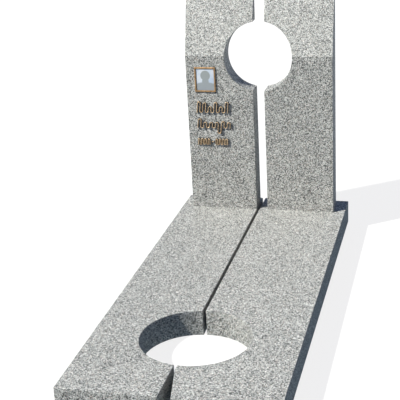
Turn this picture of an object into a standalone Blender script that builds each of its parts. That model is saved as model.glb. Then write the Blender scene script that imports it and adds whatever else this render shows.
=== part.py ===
"""Grave monument of grey granite: two slab halves, two leaning-topped stelae and bronze trim.

The two halves of the slab lie side by side with a narrow joint. A round planting opening is cut through
both, and a wedge widens the joint towards the front edge. Two stelae stand at the rear with a gap between
them, and a round hole is cut through both across the gap. Their front faces are upright up to a bend line
and lean back above it. The left stele carries a framed portrait plate and three rows of raised strokes.

Metres, +Z up. The origin is on the ground under the middle of the slab, and the front faces -Y.
"""

import math

import bmesh
import bpy
from mathutils import Matrix, Vector

COLLECTION_NAME = "grave_monument"
CUTTER_COLLECTION_NAME = "cutters"

# Stelae
STELE_WIDTH = 0.360
STELE_GAP = 0.060
STELE_THICKNESS = 0.112
STELE_TOP_THICKNESS = 0.031
BEND_HEIGHT = 0.853
LEANING_HEIGHT = 0.292

# Round hole shared by the stelae, its centre a little below the bend line
HOLE_RADIUS = 0.180
HOLE_BELOW_BEND = 0.007

# Slab halves
SLAB_THICKNESS = 0.120
SLAB_SIDE_MARGIN = 0.060
SLAB_REAR_MARGIN = 0.063
SLAB_FRONT_RUN = 1.955
JOINT_WIDTH = 0.0145

# Round planting opening, on the middle line of the slab
PLANTING_RADIUS = 0.240
PLANTING_FROM_FRONT = 0.482

# Wedge that widens the joint towards the front edge
WEDGE_LENGTH = 0.205
WEDGE_WIDENING = 0.040

# Portrait frame and plate
FRAME_WIDTH = 0.114
FRAME_HEIGHT = 0.134
FRAME_BORDER = 0.009
FRAME_DEPTH = 0.008
FRAME_SIDE_MARGIN = 0.047
FRAME_BELOW_BEND = 0.060
FRAME_LIP = 0.003
PLATE_THICKNESS = 0.003

# Rows of raised strokes, from the frame down
STROKE_WIDTH = 0.0042
STROKE_DEPTH = 0.012
ROW_SIDE_MARGIN = 0.050
UPPER_ROW_DROP = 0.114
UPPER_ROW_WIDTH = 0.172
UPPER_ROW_HEIGHT = 0.062
UPPER_ROW_RHYTHM = (1.0, 0.92, 0.52, 0.96, 0.52, 1.0)
MIDDLE_ROW_DROP = 0.085
MIDDLE_ROW_WIDTH = 0.182
MIDDLE_ROW_HEIGHT = 0.053
MIDDLE_ROW_RHYTHM = (1.0, 0.58, 0.58, 0.58, 0.70, 0.58)
MIDDLE_ROW_TAIL = 0.030
MIDDLE_ROW_TAIL_AFTER = 3
DATE_ROW_DROP = 0.094
DATE_GROUP_WIDTH = 0.068
DATE_GROUP_SPACING = 0.0085
DATE_ROW_HEIGHT = 0.036
DATE_GROUP_RHYTHM = (1.0, 1.0, 1.0, 1.0)
DASH_WIDTH = 0.013
SCRIPT_SLANT = 0.10

# Fits and finish
CONTACT_GAP = 0.0003
ARRIS = 0.002
FRAME_ARRIS = 0.001
CUT_OVERRUN = 0.020
ROUND_SIDES = 96
TURN_STEPS = 6
WELD_DISTANCE = 0.00001
SHARP_ANGLE = math.radians(30)

# Places that follow from the sizes
SLAB_WIDTH = 2 * (STELE_WIDTH + SLAB_SIDE_MARGIN) + STELE_GAP
SLAB_LENGTH = SLAB_FRONT_RUN + STELE_THICKNESS + SLAB_REAR_MARGIN
FRONT_Y = -SLAB_LENGTH / 2
REAR_Y = SLAB_LENGTH / 2
SLAB_SIDE_X = SLAB_WIDTH / 2
STELE_INNER_X = STELE_GAP / 2
STELE_OUTER_X = STELE_INNER_X + STELE_WIDTH
STELE_FACE_Y = FRONT_Y + SLAB_FRONT_RUN
STELE_BACK_Y = STELE_FACE_Y + STELE_THICKNESS
STELE_BASE_Z = SLAB_THICKNESS + CONTACT_GAP
BEND_Z = SLAB_THICKNESS + BEND_HEIGHT
JOINT_LEFT_X = -STELE_INNER_X
JOINT_RIGHT_X = JOINT_LEFT_X + JOINT_WIDTH
PLANTING_Y = FRONT_Y + PLANTING_FROM_FRONT
HOLE_Z = BEND_Z - HOLE_BELOW_BEND
TRIM_BACK_Y = STELE_FACE_Y - CONTACT_GAP
FRAME_CENTRE_X = -STELE_OUTER_X + FRAME_SIDE_MARGIN + FRAME_WIDTH / 2
FRAME_CENTRE_Z = BEND_Z - FRAME_BELOW_BEND - FRAME_HEIGHT / 2
ROW_LEFT_X = -STELE_OUTER_X + ROW_SIDE_MARGIN
UPPER_ROW_Z = FRAME_CENTRE_Z - FRAME_HEIGHT / 2 - UPPER_ROW_DROP
MIDDLE_ROW_Z = UPPER_ROW_Z - MIDDLE_ROW_DROP
DATE_ROW_Z = MIDDLE_ROW_Z - DATE_ROW_DROP

# A drawing in the local XY plane stands up facing -Y, or turns to face +X
FACING_FRONT = Matrix(((1, 0, 0), (0, 0, -1), (0, 1, 0))).to_4x4()
FACING_SIDE = Matrix(((0, 0, 1), (1, 0, 0), (0, 1, 0))).to_4x4()


def clear_scene():
    for item in list(bpy.data.objects):
        bpy.data.objects.remove(item, do_unlink=True)


def new_collection(name):
    collection = bpy.data.collections.new(name)
    bpy.context.scene.collection.children.link(collection)
    return collection


def new_material(name, colour, roughness, metallic=0.0):
    material = bpy.data.materials.new(name)
    material.use_nodes = True
    shader = material.node_tree.nodes["Principled BSDF"]
    shader.inputs["Base Color"].default_value = (*colour, 1.0)
    shader.inputs["Roughness"].default_value = roughness
    shader.inputs["Metallic"].default_value = metallic
    material.diffuse_color = (*colour, 1.0)
    return material


def add_object(name, data, collection, material=None):
    item = bpy.data.objects.new(name, data)
    collection.objects.link(item)
    if material:
        data.materials.append(material)
    return item


def mesh_from(bm, name):
    mesh = bpy.data.meshes.new(name)
    bm.to_mesh(mesh)
    bm.free()
    return mesh


def add_box(name, low, high, collection, material=None):
    """A box between two corners, with its origin at its middle."""
    low, high = Vector(low), Vector(high)
    bm = bmesh.new()
    bmesh.ops.create_cube(bm, size=1.0, matrix=Matrix.Diagonal((*(high - low), 1.0)))
    item = add_object(name, mesh_from(bm, name), collection, material)
    item.location = (low + high) / 2
    return item


def add_round_cutter(name, radius, depth, centre, turn, collection):
    bm = bmesh.new()
    bmesh.ops.create_cone(
        bm, cap_ends=True, segments=ROUND_SIDES, radius1=radius, radius2=radius, depth=depth
    )
    item = add_object(name, mesh_from(bm, name), collection)
    item.matrix_world = Matrix.Translation(centre) @ turn
    hide_cutter(item)
    return item


def hide_cutter(item):
    item.hide_render = True
    item.display_type = "WIRE"


def new_poly_curve(name, points, cyclic):
    """A curve of straight stretches through flat points, in its local XY plane."""
    curve = bpy.data.curves.new(name, "CURVE")
    spline = curve.splines.new("POLY")
    spline.points.add(len(points) - 1)
    for point, (x, y) in zip(spline.points, points):
        point.co = (x, y, 0.0, 1.0)
    spline.use_cyclic_u = cyclic
    return curve


def curve_to_mesh(item, name, collection, material=None):
    """Turns a curve object into a mesh object of the same place, with its caps welded."""
    bpy.context.view_layer.update()
    evaluated = item.evaluated_get(bpy.context.evaluated_depsgraph_get())
    mesh = bpy.data.meshes.new_from_object(evaluated)
    mesh.name = name
    bm = bmesh.new()
    bm.from_mesh(mesh)
    bmesh.ops.remove_doubles(bm, verts=bm.verts, dist=WELD_DISTANCE)
    bmesh.ops.dissolve_degenerate(bm, edges=bm.edges, dist=WELD_DISTANCE)
    bmesh.ops.recalc_face_normals(bm, faces=bm.faces)
    bm.to_mesh(mesh)
    bm.free()
    place = item.matrix_world.copy()
    bpy.data.objects.remove(item, do_unlink=True)
    mesh.materials.clear()
    solid = add_object(name, mesh, collection, material)
    solid.matrix_world = place
    return solid


def add_prism(name, outline, thickness, place, collection, material=None):
    """A flat outline given half its thickness to each side of its plane."""
    curve = new_poly_curve(name, outline, cyclic=True)
    curve.dimensions = "2D"
    curve.fill_mode = "BOTH"
    curve.extrude = thickness / 2
    item = add_object(name + "_outline", curve, collection)
    item.matrix_world = place
    return curve_to_mesh(item, name, collection, material)


def cut(item, cutter):
    modifier = item.modifiers.new("Cut by " + cutter.name, "BOOLEAN")
    modifier.operation = "DIFFERENCE"
    modifier.solver = "EXACT"
    modifier.object = cutter


def soften_edges(item, width):
    """Takes the sharp arrises off and shades round walls smooth."""
    modifier = item.modifiers.new("Arris", "BEVEL")
    modifier.width = width
    modifier.segments = 1
    modifier.limit_method = "ANGLE"
    modifier.angle_limit = SHARP_ANGLE
    item.data.shade_smooth()
    item.data.set_sharp_from_angle(angle=SHARP_ANGLE)


def make_slab_halves(granite, parts, cutters):
    depth = SLAB_THICKNESS + 2 * CUT_OVERRUN
    middle_z = SLAB_THICKNESS / 2
    planting = add_round_cutter(
        "planting_cutter", PLANTING_RADIUS, depth, (0.0, PLANTING_Y, middle_z), Matrix(), cutters
    )
    left = add_box(
        "slab_left", (-SLAB_SIDE_X, FRONT_Y, 0.0), (JOINT_LEFT_X, REAR_Y, SLAB_THICKNESS), parts, granite
    )
    right = add_box(
        "slab_right", (JOINT_RIGHT_X, FRONT_Y, 0.0), (SLAB_SIDE_X, REAR_Y, SLAB_THICKNESS), parts, granite
    )
    for half in (left, right):
        cut(half, planting)
    cut(right, make_wedge_cutter(depth, middle_z, cutters))
    for half in (left, right):
        soften_edges(half, ARRIS)


def make_wedge_cutter(depth, middle_z, cutters):
    """The slanted side crosses the joint's right side and runs on past the front edge."""
    spread = WEDGE_WIDENING / WEDGE_LENGTH
    outline = (
        (-CUT_OVERRUN, WEDGE_LENGTH + CUT_OVERRUN / spread),
        (-CUT_OVERRUN, -CUT_OVERRUN),
        (WEDGE_WIDENING + spread * CUT_OVERRUN, -CUT_OVERRUN),
    )
    place = Matrix.Translation((JOINT_RIGHT_X, FRONT_Y, middle_z))
    cutter = add_prism("wedge_cutter", outline, depth, place, cutters)
    hide_cutter(cutter)
    return cutter


def make_stelae(granite, parts, cutters):
    """Each stele is its side profile given its width, with its part of the round hole cut away."""
    bend = BEND_Z - STELE_BASE_Z
    top = bend + LEANING_HEIGHT
    lean = STELE_THICKNESS - STELE_TOP_THICKNESS
    profile = (
        (0.0, 0.0),
        (STELE_THICKNESS, 0.0),
        (STELE_THICKNESS, top),
        (lean, top),
        (0.0, bend),
    )
    hole = add_round_cutter(
        "hole_cutter",
        HOLE_RADIUS,
        STELE_THICKNESS + 2 * CUT_OVERRUN,
        (0.0, STELE_FACE_Y + STELE_THICKNESS / 2, HOLE_Z),
        FACING_FRONT,
        cutters,
    )
    middle_x = (STELE_INNER_X + STELE_OUTER_X) / 2
    for name, x in (("stele_left", -middle_x), ("stele_right", middle_x)):
        place = Matrix.Translation((x, STELE_FACE_Y, STELE_BASE_Z)) @ FACING_SIDE
        stele = add_prism(name, profile, STELE_WIDTH, place, parts, granite)
        cut(stele, hole)
        soften_edges(stele, ARRIS)


def portrait_box(name, width, height, front_y, back_y, collection, material=None):
    """A box on the portrait's middle line, between two depths."""
    low = (FRAME_CENTRE_X - width / 2, front_y, FRAME_CENTRE_Z - height / 2)
    high = (FRAME_CENTRE_X + width / 2, back_y, FRAME_CENTRE_Z + height / 2)
    return add_box(name, low, high, collection, material)


def make_portrait(bronze, enamel, parts, cutters):
    """A bronze frame with a rebate at its back, and the plate that its lip holds."""
    front_y = TRIM_BACK_Y - FRAME_DEPTH
    window = (FRAME_WIDTH - 2 * FRAME_BORDER, FRAME_HEIGHT - 2 * FRAME_BORDER)
    rebate = (window[0] + 2 * FRAME_LIP, window[1] + 2 * FRAME_LIP)
    plate_front_y = TRIM_BACK_Y - PLATE_THICKNESS
    frame = portrait_box("portrait_frame", FRAME_WIDTH, FRAME_HEIGHT, front_y, TRIM_BACK_Y, parts, bronze)
    window_cutter = portrait_box(
        "window_cutter", *window, front_y - CUT_OVERRUN, TRIM_BACK_Y + CUT_OVERRUN, cutters
    )
    rebate_cutter = portrait_box(
        "rebate_cutter", *rebate, plate_front_y - CONTACT_GAP, TRIM_BACK_Y + CUT_OVERRUN, cutters
    )
    cut(frame, window_cutter)
    soften_edges(frame, FRAME_ARRIS)
    cut(frame, rebate_cutter)
    for cutter in (window_cutter, rebate_cutter):
        hide_cutter(cutter)
    plate_size = [side - 2 * CONTACT_GAP for side in rebate]
    portrait_box("portrait_plate", *plate_size, plate_front_y, TRIM_BACK_Y, parts, enamel)


def turn_points(centre, radius, start, end):
    """Points of a turn between two angles, both ends included."""
    angles = (start + (end - start) * step / TURN_STEPS for step in range(TURN_STEPS + 1))
    return [(centre[0] + radius * math.cos(a), centre[1] + radius * math.sin(a)) for a in angles]


def winding_stroke(width, height, rhythm, slant=0.0, tail=0.0, tail_after=None):
    """One unbroken stroke that rises to each height of the rhythm and comes back to the base line."""
    spacing = (width - STROKE_WIDTH) / (2 * len(rhythm) - 1)
    radius = spacing / 2
    low = radius + STROKE_WIDTH / 2
    high = height - radius - STROKE_WIDTH / 2
    points = [(STROKE_WIDTH / 2, 0.0)]
    for number, share in enumerate(rhythm):
        left_x = STROKE_WIDTH / 2 + 2 * number * spacing
        over_z = max(share * high, low)
        points += turn_points((left_x + radius, over_z), radius, math.pi, 0.0)
        under_z = low - tail if number == tail_after else low
        if number < len(rhythm) - 1:
            points += turn_points((left_x + spacing + radius, under_z), radius, math.pi, 2 * math.pi)
    points.append((width - STROKE_WIDTH / 2, 0.0))
    return [(x + slant * z, z) for x, z in points]


def add_stroke(name, points, left_x, base_z, parts, bronze):
    """A stroke of rounded section that stands proud of the stele's face."""
    curve = new_poly_curve(name, points, cyclic=False)
    curve.dimensions = "3D"
    curve.twist_mode = "Z_UP"
    curve.fill_mode = "FULL"
    curve.bevel_depth = STROKE_WIDTH / 2
    curve.bevel_resolution = 1
    curve.extrude = (STROKE_DEPTH - STROKE_WIDTH) / 2
    curve.use_fill_caps = True
    item = add_object(name + "_line", curve, parts)
    item.matrix_world = Matrix.Translation((left_x, TRIM_BACK_Y - STROKE_DEPTH / 2, base_z)) @ FACING_FRONT
    stroke = curve_to_mesh(item, name, parts, bronze)
    stroke.data.shade_smooth()
    stroke.data.set_sharp_from_angle(angle=SHARP_ANGLE)


def make_script_rows(bronze, parts):
    upper = winding_stroke(UPPER_ROW_WIDTH, UPPER_ROW_HEIGHT, UPPER_ROW_RHYTHM, SCRIPT_SLANT)
    middle = winding_stroke(
        MIDDLE_ROW_WIDTH,
        MIDDLE_ROW_HEIGHT,
        MIDDLE_ROW_RHYTHM,
        SCRIPT_SLANT,
        MIDDLE_ROW_TAIL,
        MIDDLE_ROW_TAIL_AFTER,
    )
    add_stroke("inscription_upper", upper, ROW_LEFT_X, UPPER_ROW_Z, parts, bronze)
    add_stroke("inscription_middle", middle, ROW_LEFT_X, MIDDLE_ROW_Z, parts, bronze)


def make_date_row(bronze, parts):
    group = winding_stroke(DATE_GROUP_WIDTH, DATE_ROW_HEIGHT, DATE_GROUP_RHYTHM)
    dash = [(0.0, DATE_ROW_HEIGHT / 2), (DASH_WIDTH, DATE_ROW_HEIGHT / 2)]
    dash_x = ROW_LEFT_X + DATE_GROUP_WIDTH + DATE_GROUP_SPACING
    right_x = dash_x + DASH_WIDTH + DATE_GROUP_SPACING
    add_stroke("date_group_left", group, ROW_LEFT_X, DATE_ROW_Z, parts, bronze)
    add_stroke("date_dash", dash, dash_x, DATE_ROW_Z, parts, bronze)
    add_stroke("date_group_right", group, right_x, DATE_ROW_Z, parts, bronze)


def main():
    clear_scene()
    parts = new_collection(COLLECTION_NAME)
    cutters = new_collection(CUTTER_COLLECTION_NAME)
    granite = new_material("grey_granite", (0.45, 0.46, 0.45), 0.5)
    bronze = new_material("cast_bronze", (0.42, 0.22, 0.09), 0.4, metallic=1.0)
    enamel = new_material("pale_enamel", (0.68, 0.74, 0.82), 0.2)
    make_slab_halves(granite, parts, cutters)
    make_stelae(granite, parts, cutters)
    make_portrait(bronze, enamel, parts, cutters)
    make_script_rows(bronze, parts)
    make_date_row(bronze, parts)


main()
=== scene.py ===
"""Looks of a grave monument of grey granite with cast bronze trim.

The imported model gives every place. This script dresses it: granite halves and stelae with eased arrises and
a crystalline speckle, a bronze frame with a turned-over lip, an enamelled plate with a plain grey bust, and
rows of raised bronze strokes. Metres, +Z up, the front faces -Y.
"""

import logging
import math
from collections.abc import Sequence
from dataclasses import dataclass
from enum import Enum

import bmesh
import bpy
from mathutils import Matrix, Vector

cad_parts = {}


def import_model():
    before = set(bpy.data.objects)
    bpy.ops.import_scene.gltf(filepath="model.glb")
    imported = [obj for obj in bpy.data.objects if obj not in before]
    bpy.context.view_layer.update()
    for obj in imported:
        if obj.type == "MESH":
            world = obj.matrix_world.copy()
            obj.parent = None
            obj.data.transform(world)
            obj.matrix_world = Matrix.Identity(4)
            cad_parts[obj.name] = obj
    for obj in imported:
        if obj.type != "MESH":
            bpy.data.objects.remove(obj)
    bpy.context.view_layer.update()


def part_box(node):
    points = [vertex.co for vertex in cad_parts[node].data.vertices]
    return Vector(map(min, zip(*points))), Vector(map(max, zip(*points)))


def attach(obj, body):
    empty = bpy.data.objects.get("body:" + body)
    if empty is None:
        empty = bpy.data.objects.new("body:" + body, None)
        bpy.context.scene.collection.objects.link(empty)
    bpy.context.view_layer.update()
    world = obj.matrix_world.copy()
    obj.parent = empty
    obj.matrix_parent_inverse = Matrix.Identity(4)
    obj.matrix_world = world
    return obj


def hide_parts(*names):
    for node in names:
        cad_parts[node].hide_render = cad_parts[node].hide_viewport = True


LOG = logging.getLogger("grave_monument")
BODY = "root"

GEOMETRY_TOLERANCE = 1e-6
HAIRLINE = 10 * GEOMETRY_TOLERANCE
SHARP_ANGLE = math.radians(30)

Colour = tuple[float, float, float, float]
NO_SHARE: Colour = (0.0, 0.0, 0.0, 1.0)


class Slot(Enum):
    """The material slots."""

    GRANITE = "granite"
    BRONZE = "bronze"
    ENAMEL = "enamel"


class Side(Enum):
    """Which half of the monument a piece stands on, as the sign of its x."""

    LEFT = -1
    RIGHT = 1

    def edges(self, low: Vector, high: Vector) -> tuple[float, float]:
        """Gives the outer and the inner x of a piece that fills this half from low to high."""
        return (low.x, high.x) if self is Side.LEFT else (high.x, low.x)

    def notch_angle(self, inner_x: float, half_chord: float) -> float:
        """Gives how far a round notch turns within this half.

        Args:
            inner_x: The x of the half's inner edge, measured from the notch's centre.
            half_chord: Half the length that the notch takes out of that edge.

        Returns:
            The angle in radians, with its sign.
        """
        start = math.atan2(half_chord, inner_x)
        return 2 * (math.pi - start) if self is Side.LEFT else -2 * start


def linear_colour(code: str) -> Colour:
    """Turns an sRGB hex code into a linear colour with full alpha.

    Args:
        code: Six hex digits, with or without a leading hash.

    Returns:
        Red, green, blue and alpha for a shader socket.
    """
    digits = code.lstrip("#")
    channels = [int(digits[at : at + 2], 16) / 255 for at in (0, 2, 4)]
    linear = [c / 12.92 if c <= 0.04045 else ((c + 0.055) / 1.055) ** 2.4 for c in channels]
    return (*linear, 1.0)


def add_node(
    tree: bpy.types.NodeTree,
    kind: str,
    settings: dict[str, object] | None = None,
    sockets: dict[str | int, object] | None = None,
) -> bpy.types.Node:
    """Adds a shader node with its settings, its socket values and its links.

    Args:
        tree: The node tree that gets the node.
        kind: The node's type without its ShaderNode prefix.
        settings: Values for the node's own properties.
        sockets: For each input, by name or index, a value or the output socket that feeds it.

    Returns:
        The new node.
    """
    node = tree.nodes.new("ShaderNode" + kind)
    for name, value in (settings or {}).items():
        setattr(node, name, value)
    for key, value in (sockets or {}).items():
        if isinstance(value, bpy.types.NodeSocket):
            tree.links.new(value, node.inputs[key])
        else:
            node.inputs[key].default_value = value
    return node


def set_ramp(node: bpy.types.Node, stops: Sequence[tuple[float, Colour]]) -> None:
    """Gives a colour ramp its stops.

    Args:
        node: The ramp node.
        stops: Position and linear colour of each stop, from left to right.
    """
    elements = node.color_ramp.elements
    while len(elements) > 1:
        elements.remove(elements[-1])
    elements[0].position, elements[0].color = stops[0]
    for position, colour in stops[1:]:
        elements.new(position).color = colour


def new_material(name: str) -> tuple[bpy.types.Material, bpy.types.NodeTree]:
    """Makes an empty node material.

    Args:
        name: The material's name.

    Returns:
        The material and its node tree.
    """
    material = bpy.data.materials.new(name)
    material.use_nodes = True
    material.node_tree.nodes.clear()
    return material, material.node_tree


@dataclass(frozen=True)
class GraniteFinish:
    """Fine-grained light grey granite, honed after sawing.

    It is a mix of pale feldspar, some of it faintly warm, clear grey quartz and black mica, in crystals of 2
    to 4 mm. Honing leaves it matt, with a faint sparkle where single crystals lie flat. The faces that look
    at the sky are painted paler than the upright ones, as painted light from above. The leaning faces, where
    rain runs off slowly, keep a grey bloom that softens their speckle.
    """

    grain_size: float = 0.0031
    cluster_size: float = 0.0110
    cloud_size: float = 0.30
    mica: str = "222324"
    quartz: str = "6c6e6c"
    feldspar: str = "a9aaa7"
    warm_feldspar: str = "b6aca3"
    bright_feldspar: str = "d4d3cf"
    bloom: str = "9f9f9d"
    mica_share: float = 0.23
    quartz_share: float = 0.44
    feldspar_share: float = 0.70
    warm_share: float = 0.78
    cluster_spread: float = 0.07
    cloud_spread: float = 0.03
    top_light_gain: float = 1.25
    bloom_share: float = 0.24
    leaning_from: float = 0.08
    leaning_by: float = 0.22
    level_from: float = 0.60
    level_by: float = 0.90
    cloud_low: float = 0.3
    cloud_high: float = 0.7
    roughness: float = 0.55
    roughness_spread: float = 0.12
    bump_height: float = 0.00008
    ior: float = 1.54

    def build(self, name: str) -> bpy.types.Material:
        """Makes the material.

        Args:
            name: The material's name.

        Returns:
            The granite material.
        """
        material, tree = new_material(name)
        place = add_node(tree, "TexCoord").outputs["Object"]
        wander = add_node(
            tree, "TexNoise", None, {"Vector": place, "Scale": 1 / (2 * self.grain_size), "Detail": 1.0}
        ).outputs["Color"]
        centred = add_node(
            tree, "VectorMath", {"operation": "SUBTRACT"}, {0: wander, 1: (0.5, 0.5, 0.5)}
        ).outputs[0]
        shifted = add_node(
            tree,
            "VectorMath",
            {"operation": "MULTIPLY_ADD"},
            {0: centred, 1: (self.grain_size,) * 3, 2: place},
        ).outputs[0]
        grains = add_node(
            tree, "TexVoronoi", {"feature": "F1"}, {"Vector": shifted, "Scale": 1 / self.grain_size}
        )
        clusters = add_node(
            tree, "TexVoronoi", {"feature": "F1"}, {"Vector": shifted, "Scale": 1 / self.cluster_size}
        )
        grain_draw = add_node(tree, "SeparateColor", None, {"Color": grains.outputs["Color"]})
        cluster_draw = add_node(tree, "SeparateColor", None, {"Color": clusters.outputs["Color"]})
        minerals = add_node(tree, "ValToRGB", None, {"Fac": grain_draw.outputs[0]})
        minerals.color_ramp.interpolation = "CONSTANT"
        set_ramp(
            minerals,
            (
                (0.0, linear_colour(self.mica)),
                (self.mica_share, linear_colour(self.quartz)),
                (self.quartz_share, linear_colour(self.feldspar)),
                (self.feldspar_share, linear_colour(self.warm_feldspar)),
                (self.warm_share, linear_colour(self.bright_feldspar)),
            ),
        )
        cluster_tone = add_node(
            tree,
            "MapRange",
            None,
            {
                "Value": cluster_draw.outputs[0],
                "To Min": 1 - self.cluster_spread,
                "To Max": 1 + self.cluster_spread,
            },
        ).outputs["Result"]
        clouds = add_node(
            tree, "TexNoise", None, {"Vector": place, "Scale": 1 / self.cloud_size, "Detail": 3.0}
        ).outputs["Fac"]
        cloud_tone = add_node(
            tree,
            "MapRange",
            None,
            {
                "Value": clouds,
                "From Min": self.cloud_low,
                "From Max": self.cloud_high,
                "To Min": 1 - self.cloud_spread,
                "To Max": 1 + self.cloud_spread,
            },
        ).outputs["Result"]
        tone = add_node(
            tree, "Math", {"operation": "MULTIPLY"}, {0: cluster_tone, 1: cloud_tone}
        ).outputs[0]
        # Painted light: faces that look up are made paler by their normal's height, in place of the sun and
        # sky on them.
        facing = add_node(tree, "NewGeometry").outputs["Normal"]
        skyward = add_node(tree, "SeparateXYZ", None, {"Vector": facing}).outputs["Z"]
        painted_top_light = add_node(
            tree,
            "MapRange",
            None,
            {
                "Value": skyward,
                "From Min": self.leaning_from,
                "From Max": self.leaning_by,
                "To Min": 1.0,
                "To Max": self.top_light_gain,
            },
        ).outputs["Result"]
        tone = add_node(tree, "Math", {"operation": "MULTIPLY"}, {0: tone, 1: painted_top_light}).outputs[0]
        colour = add_node(
            tree,
            "VectorMath",
            {"operation": "SCALE"},
            {0: minerals.outputs["Color"], "Scale": tone},
        ).outputs[0]
        leaning = add_node(tree, "ValToRGB", None, {"Fac": skyward})
        full_share = (self.bloom_share, self.bloom_share, self.bloom_share, 1.0)
        set_ramp(
            leaning,
            (
                (self.leaning_from, NO_SHARE),
                (self.leaning_by, full_share),
                (self.level_from, full_share),
                (self.level_by, NO_SHARE),
            ),
        )
        colour = add_node(
            tree,
            "Mix",
            {"data_type": "RGBA"},
            {0: leaning.outputs["Color"], 6: colour, 7: linear_colour(self.bloom)},
        ).outputs[2]
        roughness = add_node(
            tree,
            "MapRange",
            None,
            {
                "Value": grain_draw.outputs[1],
                "To Min": self.roughness - self.roughness_spread,
                "To Max": self.roughness + self.roughness_spread,
            },
        ).outputs["Result"]
        bump = add_node(
            tree,
            "Bump",
            None,
            {"Strength": 1.0, "Distance": self.bump_height, "Height": grain_draw.outputs[2]},
        ).outputs["Normal"]
        shader = add_node(
            tree,
            "BsdfPrincipled",
            None,
            {"Base Color": colour, "Roughness": roughness, "Normal": bump, "IOR": self.ior},
        )
        add_node(tree, "OutputMaterial", None, {"Surface": shader.outputs[0]})
        return material


@dataclass(frozen=True)
class BronzeFinish:
    """Cast bronze, its front brushed and lacquered, its sides left with a dark patina.

    The front is golden, browner in cloudy patches where the weather sits in it. The sides are nearly black.
    """

    bright: str = "cda579"
    brown: str = "a37f58"
    patina: str = "544b43"
    mottle_size: float = 0.008
    brown_until: float = 0.35
    bright_from: float = 0.58
    side_until: float = -0.25
    front_from: float = -0.65
    casting_grain: float = 0.0012
    grain_height: float = 0.0001
    grain_strength: float = 0.4
    roughness: float = 0.42
    roughness_spread: float = 0.12
    metallic: float = 0.75

    def build(self, name: str) -> bpy.types.Material:
        """Makes the material.

        Args:
            name: The material's name.

        Returns:
            The bronze material.
        """
        material, tree = new_material(name)
        place = add_node(tree, "TexCoord").outputs["Object"]
        mottle = add_node(
            tree, "TexNoise", None, {"Vector": place, "Scale": 1 / self.mottle_size, "Detail": 3.0}
        ).outputs["Fac"]
        ramp = add_node(tree, "ValToRGB", None, {"Fac": mottle})
        set_ramp(
            ramp,
            (
                (self.brown_until, linear_colour(self.brown)),
                (self.bright_from, linear_colour(self.bright)),
            ),
        )
        facing = add_node(tree, "NewGeometry").outputs["Normal"]
        depthward = add_node(tree, "SeparateXYZ", None, {"Vector": facing}).outputs["Y"]
        brushed = add_node(
            tree,
            "MapRange",
            None,
            {"Value": depthward, "From Min": self.side_until, "From Max": self.front_from},
        ).outputs["Result"]
        colour = add_node(
            tree,
            "Mix",
            {"data_type": "RGBA"},
            {0: brushed, 6: linear_colour(self.patina), 7: ramp.outputs["Color"]},
        ).outputs[2]
        grain = add_node(
            tree, "TexNoise", None, {"Vector": place, "Scale": 1 / self.casting_grain, "Detail": 2.0}
        ).outputs["Fac"]
        bump = add_node(
            tree,
            "Bump",
            None,
            {"Strength": self.grain_strength, "Distance": self.grain_height, "Height": grain},
        ).outputs["Normal"]
        roughness = add_node(
            tree,
            "MapRange",
            None,
            {
                "Value": mottle,
                "To Min": self.roughness + self.roughness_spread,
                "To Max": self.roughness - self.roughness_spread,
            },
        ).outputs["Result"]
        shader = add_node(
            tree,
            "BsdfPrincipled",
            None,
            {
                "Base Color": colour,
                "Metallic": self.metallic,
                "Roughness": roughness,
                "Normal": bump,
            },
        )
        add_node(tree, "OutputMaterial", None, {"Surface": shader.outputs[0]})
        return material


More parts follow.
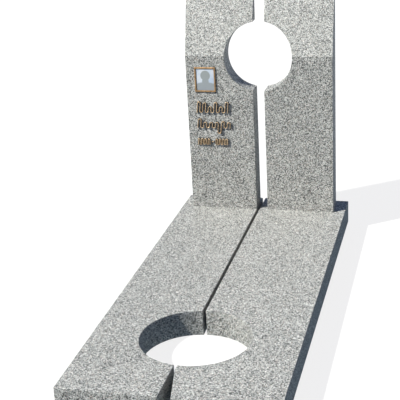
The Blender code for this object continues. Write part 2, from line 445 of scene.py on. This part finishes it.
@dataclass(frozen=True)
class EnamelFinish:
    """Fired enamel on a steel plate: a cloudy pale blue ground under a clear glaze, with a plain grey bust.

    The bust is three round shapes, for the head, the neck and the shoulders, given as centres and half
    sizes in metres from the middle of the plate.
    """

    ground_low: str = "d1d6dd"
    ground_high: str = "b8c5d7"
    bust: str = "979c9c"
    bust_low: str = "999fa5"
    cloud_size: float = 0.03
    cloud_low: float = 0.35
    cloud_high: float = 0.65
    head: tuple[float, float, float, float] = (0.0015, 0.0215, 0.0259, 0.0272)
    neck: tuple[float, float, float, float] = (0.0015, -0.0100, 0.0178, 0.0200)
    shoulders: tuple[float, float, float, float] = (0.0015, -0.0743, 0.0900, 0.0604)
    edge_softness: float = 0.05
    fade_from: float = -0.06
    fade_to: float = 0.03
    roughness: float = 0.3
    glaze: float = 0.3
    glaze_roughness: float = 0.1

    def build(self, name: str, centre: Vector) -> bpy.types.Material:
        """Makes the material.

        Args:
            name: The material's name.
            centre: The middle of the plate.

        Returns:
            The enamel material.
        """
        material, tree = new_material(name)
        place = add_node(tree, "TexCoord").outputs["Object"]
        reach = None
        for x, z, half_width, half_height in (self.head, self.neck, self.shoulders):
            scale = (1 / half_width, 0.0, 1 / half_height)
            offset = (-(centre.x + x) / half_width, 0.0, -(centre.z + z) / half_height)
            scaled = add_node(
                tree, "VectorMath", {"operation": "MULTIPLY_ADD"}, {0: place, 1: scale, 2: offset}
            ).outputs[0]
            distance = add_node(tree, "VectorMath", {"operation": "LENGTH"}, {0: scaled}).outputs["Value"]
            if reach is None:
                reach = distance
            else:
                reach = add_node(
                    tree,
                    "Math",
                    {"operation": "SMOOTH_MIN"},
                    {0: reach, 1: distance, 2: 4 * self.edge_softness},
                ).outputs[0]
        inside = add_node(
            tree,
            "MapRange",
            {"interpolation_type": "SMOOTHSTEP"},
            {
                "Value": reach,
                "From Min": 1 + self.edge_softness,
                "From Max": 1 - self.edge_softness,
            },
        ).outputs["Result"]
        clouds = add_node(
            tree, "TexNoise", None, {"Vector": place, "Scale": 1 / self.cloud_size, "Detail": 1.0}
        ).outputs["Fac"]
        ground = add_node(tree, "ValToRGB", None, {"Fac": clouds})
        set_ramp(
            ground,
            (
                (self.cloud_low, linear_colour(self.ground_high)),
                (self.cloud_high, linear_colour(self.ground_low)),
            ),
        )
        height = add_node(tree, "SeparateXYZ", None, {"Vector": place}).outputs["Z"]
        rise = add_node(
            tree,
            "MapRange",
            None,
            {
                "Value": height,
                "From Min": centre.z + self.fade_from,
                "From Max": centre.z + self.fade_to,
            },
        ).outputs["Result"]
        bust = add_node(tree, "ValToRGB", None, {"Fac": rise})
        set_ramp(bust, ((0.0, linear_colour(self.bust_low)), (1.0, linear_colour(self.bust))))
        picture = add_node(
            tree,
            "Mix",
            {"data_type": "RGBA"},
            {0: inside, 6: ground.outputs["Color"], 7: bust.outputs["Color"]},
        ).outputs[2]
        shader = add_node(
            tree,
            "BsdfPrincipled",
            None,
            {
                "Base Color": picture,
                "Roughness": self.roughness,
                "Coat Weight": self.glaze,
                "Coat Roughness": self.glaze_roughness,
            },
        )
        add_node(tree, "OutputMaterial", None, {"Surface": shader.outputs[0]})
        return material


@dataclass(frozen=True)
class FloorFinish:
    """Matt white acrylic sheet, lit from below as on a light table.

    To the eye it glows evenly and takes a faint shadow. Onto the stone it throws a painted glow in place of
    bounce light: dimmer close round the grave, as painted shade where the ground lies in the monument's
    shadow, and brighter further off.
    """

    sheet: str = "7a7a79"
    glow: str = "fffefd"
    glow_strength: float = 0.84
    near_glow: str = "778690"
    far_glow: str = "cad2d6"
    near_glow_reach: float = 1.4
    far_glow_from: float = 2.6
    roughness: float = 0.9
    ior: float = 1.49

    def build(self, name: str) -> bpy.types.Material:
        """Makes the material.

        Args:
            name: The material's name.

        Returns:
            The floor's sheet.
        """
        material, tree = new_material(name)
        sheet = add_node(
            tree,
            "BsdfPrincipled",
            None,
            {
                "Base Color": linear_colour(self.sheet),
                "Roughness": self.roughness,
                "IOR": self.ior,
                "Emission Color": linear_colour(self.glow),
                "Emission Strength": self.glow_strength,
            },
        )
        place = add_node(tree, "TexCoord").outputs["Object"]
        distance = add_node(tree, "VectorMath", {"operation": "LENGTH"}, {0: place}).outputs["Value"]
        away = add_node(
            tree,
            "MapRange",
            None,
            {"Value": distance, "From Min": self.near_glow_reach, "From Max": self.far_glow_from},
        ).outputs["Result"]
        ground = add_node(
            tree,
            "Mix",
            {"data_type": "RGBA"},
            {0: away, 6: linear_colour(self.near_glow), 7: linear_colour(self.far_glow)},
        ).outputs[2]
        # Painted bounce light: rays other than the camera's see the floor as a glow, dimmer near the grave as
        # painted shade.
        painted_bounce = add_node(tree, "Emission", None, {"Color": ground})
        seen = add_node(tree, "LightPath").outputs["Is Camera Ray"]
        shader = add_node(
            tree, "MixShader", None, {0: seen, 1: painted_bounce.outputs[0], 2: sheet.outputs[0]}
        )
        add_node(tree, "OutputMaterial", None, {"Surface": shader.outputs[0]})
        return material


class Outline:
    """A closed outline drawn corner by corner, with round stretches, in one plane of a bmesh."""

    def __init__(self, bm: bmesh.types.BMesh, axis: Vector) -> None:
        """Starts an empty outline.

        Args:
            bm: The bmesh that gets the outline.
            axis: The axis that its round stretches turn about.
        """
        self.bm = bm
        self.axis = axis
        self.verts: list[bmesh.types.BMVert] = []

    def corner(self, point: Vector | tuple[float, float, float]) -> None:
        """Adds one corner."""
        self.verts.append(self.bm.verts.new(point))

    def turn(self, centre: Vector | tuple[float, float, float], angle: float, steps: int) -> None:
        """Swings the last corner about a centre, leaving a point at each step.

        Args:
            centre: The middle of the round stretch.
            angle: How far to swing, in radians.
            steps: How many points to leave.
        """
        before = len(self.bm.verts)
        bmesh.ops.spin(
            self.bm,
            geom=[self.verts[-1]],
            cent=centre,
            axis=self.axis,
            angle=angle,
            steps=steps,
        )
        self.bm.verts.ensure_lookup_table()
        self.verts += self.bm.verts[before:]

    def fill(self) -> bmesh.types.BMFace:
        """Closes the outline with one face."""
        return self.bm.faces.new(self.verts)


def thicken(bm: bmesh.types.BMesh, face: bmesh.types.BMFace, offset: Vector) -> None:
    """Pulls a flat face out into a closed solid whose faces point outwards.

    Args:
        bm: The bmesh that holds the face.
        face: The face to pull.
        offset: How far and which way.
    """
    pulled = bmesh.ops.extrude_face_region(bm, geom=[face], use_keep_orig=True)
    verts = [item for item in pulled["geom"] if isinstance(item, bmesh.types.BMVert)]
    bmesh.ops.translate(bm, verts=verts, vec=offset)
    bmesh.ops.recalc_face_normals(bm, faces=bm.faces)


def ease_edges(bm: bmesh.types.BMesh, width: float, segments: int, sharper_than: float) -> None:
    """Rounds over the edges that are sharper than an angle.

    Args:
        bm: The bmesh to work on.
        width: How far the rounding reaches from the edge.
        segments: How many flats the rounding has.
        sharper_than: The angle between its faces from which an edge is rounded.
    """
    edges = [edge for edge in bm.edges if edge.calc_face_angle(0.0) > sharper_than]
    bmesh.ops.bevel(
        bm,
        geom=edges,
        offset=width,
        offset_type="OFFSET",
        affect="EDGES",
        segments=segments,
        profile=0.5,
        clamp_overlap=True,
        material=-1,
    )


def finish_piece(
    bm: bmesh.types.BMesh, name: str, material: bpy.types.Material, nodes: Sequence[str]
) -> bpy.types.Object:
    """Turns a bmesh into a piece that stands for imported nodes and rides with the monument.

    Its normals are weighted by area, so that its flats stay flat beside their rounded edges.

    Args:
        bm: The finished shape, which is freed.
        name: The piece's name.
        material: What it is made of.
        nodes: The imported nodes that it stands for.

    Returns:
        The new object.
    """
    mesh = bpy.data.meshes.new(name)
    bm.to_mesh(mesh)
    bm.free()
    mesh.shade_smooth()
    mesh.set_sharp_from_angle(angle=SHARP_ANGLE)
    mesh.materials.append(material)
    piece = bpy.data.objects.new(name, mesh)
    bpy.context.scene.collection.objects.link(piece)
    weighted = piece.modifiers.new("flat_faces", "WEIGHTED_NORMAL")
    weighted.mode = "FACE_AREA"
    weighted.keep_sharp = True
    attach(piece, BODY)
    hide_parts(*nodes)
    return piece


@dataclass
class GraniteArris:
    """The eased edge that the mason leaves on every granite piece."""

    width: float = 0.0018
    segments: int = 4
    sharper_than: float = math.radians(12)

    def ease(self, bm: bmesh.types.BMesh) -> None:
        """Rounds the piece's arrises."""
        ease_edges(bm, self.width, self.segments, self.sharper_than)


@dataclass
class Slab:
    """The two halves of the slab, with the round planting opening and the wedge at the front."""

    material: bpy.types.Material
    arris: GraniteArris
    planting_radius: float = 0.240
    planting_from_front: float = 0.482
    wedge_length: float = 0.205
    wedge_widening: float = 0.040
    round_steps: int = 96

    def build(self) -> list[bpy.types.Object]:
        """Builds both halves.

        Returns:
            The left half and the right half.
        """
        return [self.build_half(side) for side in Side]

    def build_half(self, side: Side) -> bpy.types.Object:
        """Draws one half's plan, pulls it up to its thickness and eases its arrises.

        Args:
            side: Which half to build.

        Returns:
            The half.
        """
        name = f"slab_{side.name.lower()}"
        low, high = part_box(name)
        outer_x, inner_x = side.edges(low, high)
        centre = Vector((0.0, low.y + self.planting_from_front, low.z))
        half_chord = math.sqrt(self.planting_radius**2 - inner_x**2)
        bm = bmesh.new()
        plan = Outline(bm, Vector((0.0, 0.0, 1.0)))
        plan.corner((outer_x, low.y, low.z))
        plan.corner((outer_x, high.y, low.z))
        plan.corner((inner_x, high.y, low.z))
        plan.corner((inner_x, centre.y + half_chord, low.z))
        plan.turn(centre, side.notch_angle(inner_x, half_chord), self.round_steps)
        if side is Side.RIGHT:
            plan.corner((inner_x, low.y + self.wedge_length, low.z))
            plan.corner((inner_x + self.wedge_widening, low.y, low.z))
        else:
            plan.corner((inner_x, low.y, low.z))
        thicken(bm, plan.fill(), Vector((0.0, 0.0, high.z - low.z)))
        self.arris.ease(bm)
        return finish_piece(bm, f"granite_{name}", self.material, [name])


@dataclass
class Stelae:
    """The two upright slabs with their shared round hole and their leaning upper faces."""

    material: bpy.types.Material
    arris: GraniteArris
    bend_z: float = 0.973
    hole_radius: float = 0.180
    hole_z: float = 0.966
    top_thickness: float = 0.031
    round_steps: int = 96

    def build(self) -> list[bpy.types.Object]:
        """Builds both stelae.

        Returns:
            The left stele and the right stele.
        """
        return [self.build_stele(side) for side in Side]

    def build_stele(self, side: Side) -> bpy.types.Object:
        """Draws one stele's face, pulls it back to its thickness and saws the leaning face.

        Args:
            side: Which stele to build.

        Returns:
            The stele.
        """
        name = f"stele_{side.name.lower()}"
        low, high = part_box(name)
        outer_x, inner_x = side.edges(low, high)
        half_chord = math.sqrt(self.hole_radius**2 - inner_x**2)
        centre = Vector((0.0, low.y, self.hole_z))
        bm = bmesh.new()
        face = Outline(bm, Vector((0.0, -1.0, 0.0)))
        face.corner((outer_x, low.y, low.z))
        face.corner((outer_x, low.y, high.z))
        face.corner((inner_x, low.y, high.z))
        face.corner((inner_x, low.y, self.hole_z + half_chord))
        face.turn(centre, side.notch_angle(inner_x, half_chord), self.round_steps)
        face.corner((inner_x, low.y, low.z))
        thicken(bm, face.fill(), Vector((0.0, high.y - low.y, 0.0)))
        self.saw_leaning_face(bm, low, high)
        self.arris.ease(bm)
        return finish_piece(bm, f"granite_{name}", self.material, [name])

    def saw_leaning_face(self, bm: bmesh.types.BMesh, low: Vector, high: Vector) -> None:
        """Cuts away what stands in front of the leaning face and closes the cut.

        Args:
            bm: The stele so far.
            low: The stele's lowest corner.
            high: The stele's highest corner.
        """
        setback = high.y - low.y - self.top_thickness
        outwards = Vector((0.0, -(high.z - self.bend_z), setback)).normalized()
        cut = bmesh.ops.bisect_plane(
            bm,
            geom=[*bm.verts, *bm.edges, *bm.faces],
            dist=GEOMETRY_TOLERANCE,
            plane_co=(0.0, low.y, self.bend_z),
            plane_no=outwards,
            clear_outer=True,
        )
        rim = [item for item in cut["geom_cut"] if isinstance(item, bmesh.types.BMEdge)]
        bmesh.ops.edgeloop_fill(bm, edges=rim)
        bmesh.ops.recalc_face_normals(bm, faces=bm.faces)


@dataclass
class Portrait:
    """The bronze frame and the enamelled plate that it holds."""

    bronze: bpy.types.Material
    enamel: EnamelFinish
    lip: float = 0.003
    border: float = 0.009
    outer_slope: float = 0.0028
    inner_slope: float = 0.0026
    crown_rise: float = 0.0018
    lip_thickness: float = 0.0016
    edge_radius: float = 0.0006
    edge_segments: int = 3
    edge_sharper_than: float = math.radians(25)
    plate_crown: float = 0.0008
    plate_cuts: int = 15

    def build(self) -> list[bpy.types.Object]:
        """Builds the frame and the plate.

        Returns:
            The frame and the plate.
        """
        return [self.build_frame(), self.build_plate()]

    def build_frame(self) -> bpy.types.Object:
        """Shapes a block into a moulding by insets from the front and from the back.

        Returns:
            The frame.
        """
        low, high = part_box("portrait_frame")
        plate_low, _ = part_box("portrait_plate")
        size, middle = high - low, (low + high) / 2
        bm = bmesh.new()
        place = Matrix.Translation(middle) @ Matrix.Diagonal((*size, 1.0))
        bmesh.ops.create_cube(bm, size=1.0, matrix=place)
        front = min(bm.faces, key=lambda face: face.calc_center_median().y)
        back = max(bm.faces, key=lambda face: face.calc_center_median().y)
        bmesh.ops.translate(bm, verts=front.verts, vec=(0.0, self.crown_rise, 0.0))
        self.sink(bm, front, self.outer_slope, -self.crown_rise)
        self.sink(bm, front, self.border - self.outer_slope - self.inner_slope, 0.0)
        self.sink(bm, front, self.inner_slope, plate_low.y - self.lip_thickness - low.y)
        self.sink(bm, back, self.border - self.lip, 0.0)
        self.sink(bm, back, HAIRLINE, plate_low.y - high.y)
        self.sink(bm, back, self.lip - HAIRLINE, 0.0)
        rims = [*front.edges, *back.edges]
        bmesh.ops.delete(bm, geom=[front, back], context="FACES_ONLY")
        bmesh.ops.bridge_loops(bm, edges=rims)
        bmesh.ops.recalc_face_normals(bm, faces=bm.faces)
        ease_edges(bm, self.edge_radius, self.edge_segments, self.edge_sharper_than)
        return finish_piece(bm, "bronze_portrait_frame", self.bronze, ["portrait_frame"])

    @staticmethod
    def sink(bm: bmesh.types.BMesh, face: bmesh.types.BMFace, inset: float, depth: float) -> None:
        """Insets a face and moves what is left of it along the frame's depth.

        Args:
            bm: The bmesh that holds the face.
            face: The face to inset.
            inset: How far its edges move in.
            depth: How far it moves back, or forwards if negative.
        """
        bmesh.ops.inset_region(bm, faces=[face], thickness=inset, use_even_offset=True)
        bmesh.ops.translate(bm, verts=face.verts, vec=(0.0, depth, 0.0))

    def build_plate(self) -> bpy.types.Object:
        """Makes the plate, slightly crowned at its front as fired plates are.

        Returns:
            The plate.
        """
        low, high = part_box("portrait_plate")
        size, middle = high - low, (low + high) / 2
        bm = bmesh.new()
        place = Matrix.Translation(middle) @ Matrix.Diagonal((*size, 1.0))
        bmesh.ops.create_cube(bm, size=1.0, matrix=place)
        bmesh.ops.subdivide_edges(bm, edges=bm.edges, cuts=self.plate_cuts, use_grid_fill=True)
        window = Vector((size.x / 2 - self.lip, 0.0, size.z / 2 - self.lip))
        for vert in bm.verts:
            if vert.co.y > low.y + GEOMETRY_TOLERANCE:
                continue
            across = min(1.0, abs(vert.co.x - middle.x) / window.x)
            along = min(1.0, abs(vert.co.z - middle.z) / window.z)
            vert.co.y -= self.plate_crown * (1 - across**4) * (1 - along**4)
        material = self.enamel.build("fired_enamel", middle)
        return finish_piece(bm, "enamel_portrait_plate", material, ["portrait_plate"])


@dataclass
class StrokeRow:
    """One unbroken raised stroke that rises and falls along its row.

    Its rhythm is the height of each rise as a share of the row's height. A tail reaches below the line after
    the rise that tail_after counts from nought.
    """

    node: str
    rhythm: Sequence[float]
    width: float
    height: float
    slant: float = 0.0
    tail: float = 0.0
    tail_after: int | None = None


@dataclass
class Inscription:
    """The rows of raised bronze strokes, each one bar swung and pulled along its own line."""

    bronze: bpy.types.Material
    stroke_width: float = 0.0042
    edge_radius: float = 0.0020
    edge_steps: int = 6
    turn_steps: int = 16
    slant: float = 0.10
    dash_node: str = "date_dash"

    def rows(self) -> list[StrokeRow]:
        """The rows that wind, with their rhythms, from the top down."""
        date_rhythm = (1.0, 1.0, 1.0, 1.0)
        return [
            StrokeRow("inscription_upper", (1.0, 0.92, 0.52, 0.96, 0.52, 1.0), 0.172, 0.062, self.slant),
            StrokeRow(
                "inscription_middle",
                (1.0, 0.58, 0.58, 0.58, 0.70, 0.58),
                0.182,
                0.053,
                self.slant,
                0.030,
                3,
            ),
            StrokeRow("date_group_left", date_rhythm, 0.068, 0.036),
            StrokeRow("date_group_right", date_rhythm, 0.068, 0.036),
        ]

    def build(self) -> list[bpy.types.Object]:
        """Builds every row.

        Returns:
            One piece for each stroke.
        """
        return [*(self.build_row(row) for row in self.rows()), self.build_dash()]

    def start_bar(
        self, left: float, base: float, low_y: float, high_y: float
    ) -> tuple[bmesh.types.BMesh, list[bmesh.types.BMFace]]:
        """Starts a bar as its level cross-section, with rounded front edges.

        Args:
            left: The section's left x.
            base: The section's z.
            low_y: The front of the bar.
            high_y: The back of the bar.

        Returns:
            The bmesh and the section's face.
        """
        radius = self.edge_radius
        bm = bmesh.new()
        section = Outline(bm, Vector((0.0, 0.0, 1.0)))
        section.corner((left, high_y, base))
        section.corner((left, low_y + radius, base))
        section.turn((left + radius, low_y + radius, base), math.pi / 2, self.edge_steps)
        section.corner((left + self.stroke_width - radius, low_y, base))
        section.turn(
            (left + self.stroke_width - radius, low_y + radius, base), math.pi / 2, self.edge_steps
        )
        section.corner((left + self.stroke_width, high_y, base))
        return bm, [section.fill()]

    @staticmethod
    def pull(
        bm: bmesh.types.BMesh, section: list[bmesh.types.BMFace], vec: tuple[float, float, float]
    ) -> list[bmesh.types.BMFace]:
        """Pulls the bar's end section straight on.

        Args:
            bm: The bar.
            section: The end section's face.
            vec: How far and which way.

        Returns:
            The new end section.
        """
        pulled = bmesh.ops.extrude_face_region(bm, geom=section)["geom"]
        verts = [item for item in pulled if isinstance(item, bmesh.types.BMVert)]
        bmesh.ops.translate(bm, verts=verts, vec=vec)
        return [item for item in pulled if isinstance(item, bmesh.types.BMFace)]

    def swing(
        self, bm: bmesh.types.BMesh, section: list[bmesh.types.BMFace], centre: Vector, angle: float
    ) -> list[bmesh.types.BMFace]:
        """Swings the bar's end section round half a turn.

        Args:
            bm: The bar.
            section: The end section's face.
            centre: The middle of the turn.
            angle: The turn's angle, with its sign.

        Returns:
            The new end section.
        """
        swung = bmesh.ops.spin(
            bm, geom=section, cent=centre, axis=(0.0, 1.0, 0.0), angle=angle, steps=self.turn_steps
        )
        return [item for item in swung["geom_last"] if isinstance(item, bmesh.types.BMFace)]

    def build_row(self, row: StrokeRow) -> bpy.types.Object:
        """Builds one winding stroke.

        Args:
            row: The row's sizes and rhythm.

        Returns:
            The stroke.
        """
        low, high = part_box(row.node)
        base = high.z - row.height
        half = self.stroke_width / 2
        spacing = (row.width - self.stroke_width) / (2 * len(row.rhythm) - 1)
        radius = spacing / 2
        lowest = radius + half
        bm, section = self.start_bar(low.x, base, low.y, high.y)
        level = 0.0
        for number, share in enumerate(row.rhythm):
            left = low.x + half + 2 * number * spacing
            top = max(share * (row.height - radius - half), lowest)
            section = self.pull(bm, section, (0.0, 0.0, top - level))
            section = self.swing(bm, section, Vector((left + radius, 0.0, base + top)), math.pi)
            is_last = number == len(row.rhythm) - 1
            level = 0.0 if is_last else lowest - (row.tail if number == row.tail_after else 0.0)
            section = self.pull(bm, section, (0.0, 0.0, level - top))
            if not is_last:
                centre = Vector((left + spacing + radius, 0.0, base + level))
                section = self.swing(bm, section, centre, -math.pi)
        slanted = Matrix.Shear("XY", 4, (row.slant, 0.0))
        about = Matrix.Translation((0.0, 0.0, base))
        bmesh.ops.transform(bm, matrix=about @ slanted @ about.inverted(), verts=bm.verts)
        return self.finish_stroke(bm, row.node)

    def build_dash(self) -> bpy.types.Object:
        """Builds the short level bar between the two date groups.

        Returns:
            The bar.
        """
        low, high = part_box(self.dash_node)
        bm, section = self.start_bar(0.0, 0.0, low.y, high.y)
        self.pull(bm, section, (0.0, 0.0, high.x - low.x))
        turned = Matrix.Translation((low.x, 0.0, high.z)) @ Matrix.Rotation(math.pi / 2, 4, "Y")
        bmesh.ops.transform(bm, matrix=turned, verts=bm.verts)
        return self.finish_stroke(bm, self.dash_node)

    def finish_stroke(self, bm: bmesh.types.BMesh, node: str) -> bpy.types.Object:
        """Merges a stroke's seams, turns its faces out and makes it a piece."""
        bmesh.ops.remove_doubles(bm, verts=bm.verts, dist=GEOMETRY_TOLERANCE)
        bmesh.ops.recalc_face_normals(bm, faces=bm.faces)
        return finish_piece(bm, f"bronze_{node}", self.bronze, [node])


@dataclass(frozen=True)
class FarLight:
    """A light from far away: where it stands, how wide it looks, its colour, its strength and its shine."""

    name: str
    towards: tuple[float, float, float]
    width: float
    colour: str
    strength: float
    has_shine: bool = True

    def add(self) -> None:
        """Adds the light to the scene."""
        light = bpy.data.lights.new(self.name, "SUN")
        light.energy = self.strength
        light.angle = self.width
        light.color = linear_colour(self.colour)[:3]
        holder = bpy.data.objects.new(self.name, light)
        holder.rotation_euler = Vector(self.towards).to_track_quat("Z", "Y").to_euler()
        holder.visible_glossy = self.has_shine
        bpy.context.scene.collection.objects.link(holder)


@dataclass
class Studio:
    """The floor, the light and the camera."""

    floor_size: float = 60.0
    floor_drop: float = 0.0005
    key: FarLight = FarLight("key", (-1.0, -0.735, 1.04), math.radians(1.5), "fffef6", 5.6)
    back: FarLight = FarLight("back", (0.25, 1.0, 0.03), math.radians(10), "e6ebf2", 0.6, False)
    sky: str = "5b6a87"
    ground: str = "949ea9"
    fill_strength: float = 1.0
    backdrop: str = "ffffff"
    camera_place: tuple[float, float, float] = (1.0623, -4.2952, 2.1987)
    camera_azimuth: float = math.radians(15.243)
    camera_down: float = math.radians(20.786)
    camera_roll: float = math.radians(-3.121)
    lens: float = 93.17
    sensor: float = 36.0
    horizon: float = 0.1

    def build(self) -> None:
        """Sets the whole studio up."""
        self.add_floor()
        self.key.add()
        self.back.add()
        self.add_sky()
        self.add_camera()
        bpy.context.scene.view_settings.view_transform = "Standard"

    def add_floor(self) -> None:
        """Lays the floor just under the monument."""
        bm = bmesh.new()
        bmesh.ops.create_grid(
            bm,
            x_segments=1,
            y_segments=1,
            size=self.floor_size / 2,
            matrix=Matrix.Translation((0.0, 0.0, -self.floor_drop)),
        )
        mesh = bpy.data.meshes.new("floor")
        bm.to_mesh(mesh)
        bm.free()
        mesh.materials.append(FloorFinish().build("white_acrylic_sheet"))
        floor = bpy.data.objects.new("floor", mesh)
        bpy.context.scene.collection.objects.link(floor)

    def add_sky(self) -> None:
        """Adds a dim fill from all round, and a white backdrop for the camera."""
        world = bpy.data.worlds.new("studio")
        world.use_nodes = True
        tree = world.node_tree
        tree.nodes.clear()
        direction = add_node(tree, "TexCoord").outputs["Generated"]
        height = add_node(tree, "SeparateXYZ", None, {"Vector": direction}).outputs["Z"]
        upward = add_node(
            tree, "MapRange", None, {"Value": height, "From Min": -self.horizon, "From Max": self.horizon}
        ).outputs["Result"]
        sides = add_node(
            tree,
            "Mix",
            {"data_type": "RGBA"},
            {0: upward, 6: linear_colour(self.ground), 7: linear_colour(self.sky)},
        ).outputs[2]
        fill = add_node(tree, "Background", None, {"Color": sides, "Strength": self.fill_strength})
        backdrop = add_node(
            tree, "Background", None, {"Color": linear_colour(self.backdrop), "Strength": 1.0}
        )
        seen = add_node(tree, "LightPath").outputs["Is Camera Ray"]
        mixed = add_node(
            tree, "MixShader", None, {0: seen, 1: fill.outputs[0], 2: backdrop.outputs[0]}
        )
        add_node(tree, "OutputWorld", None, {"Surface": mixed.outputs[0]})
        bpy.context.scene.world = world

    def add_camera(self) -> None:
        """Puts the camera where the photograph was taken from."""
        data = bpy.data.cameras.new("camera")
        data.lens = self.lens
        data.sensor_width = self.sensor
        camera = bpy.data.objects.new("camera", data)
        heading = Matrix.Rotation(self.camera_azimuth, 4, "Z")
        tilt = Matrix.Rotation(math.pi / 2 - self.camera_down, 4, "X")
        roll = Matrix.Rotation(self.camera_roll, 4, "Z")
        camera.matrix_world = Matrix.Translation(self.camera_place) @ heading @ tilt @ roll
        bpy.context.scene.collection.objects.link(camera)
        bpy.context.scene.camera = camera


def build_monument() -> list[bpy.types.Object]:
    """Builds and dresses every piece of the monument.

    Returns:
        The pieces, in the order they are built.
    """
    arris = GraniteArris()
    granite = GraniteFinish().build("honed_granite")
    frame_bronze = BronzeFinish().build("cast_bronze")
    weathered = BronzeFinish(bright="e5c8a2", brown="b99672", patina="5a534c", metallic=0.35)
    stroke_bronze = weathered.build("weathered_cast_bronze")
    slab = Slab(granite, arris)
    stelae = Stelae(granite, arris)
    portrait = Portrait(frame_bronze, EnamelFinish())
    inscription = Inscription(stroke_bronze)
    pieces: list[bpy.types.Object] = []
    for assembly in (slab, stelae, portrait, inscription):
        built = assembly.build()
        pieces += built
        for piece in built:
            LOG.info("%s: %d faces", piece.name, len(piece.data.polygons))
    return pieces


def main() -> None:
    """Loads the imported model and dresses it."""
    logging.basicConfig(level=logging.INFO, format="%(name)s: %(message)s")
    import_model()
    build_monument()
    Studio().build()


if __name__ == "__main__":
    main()
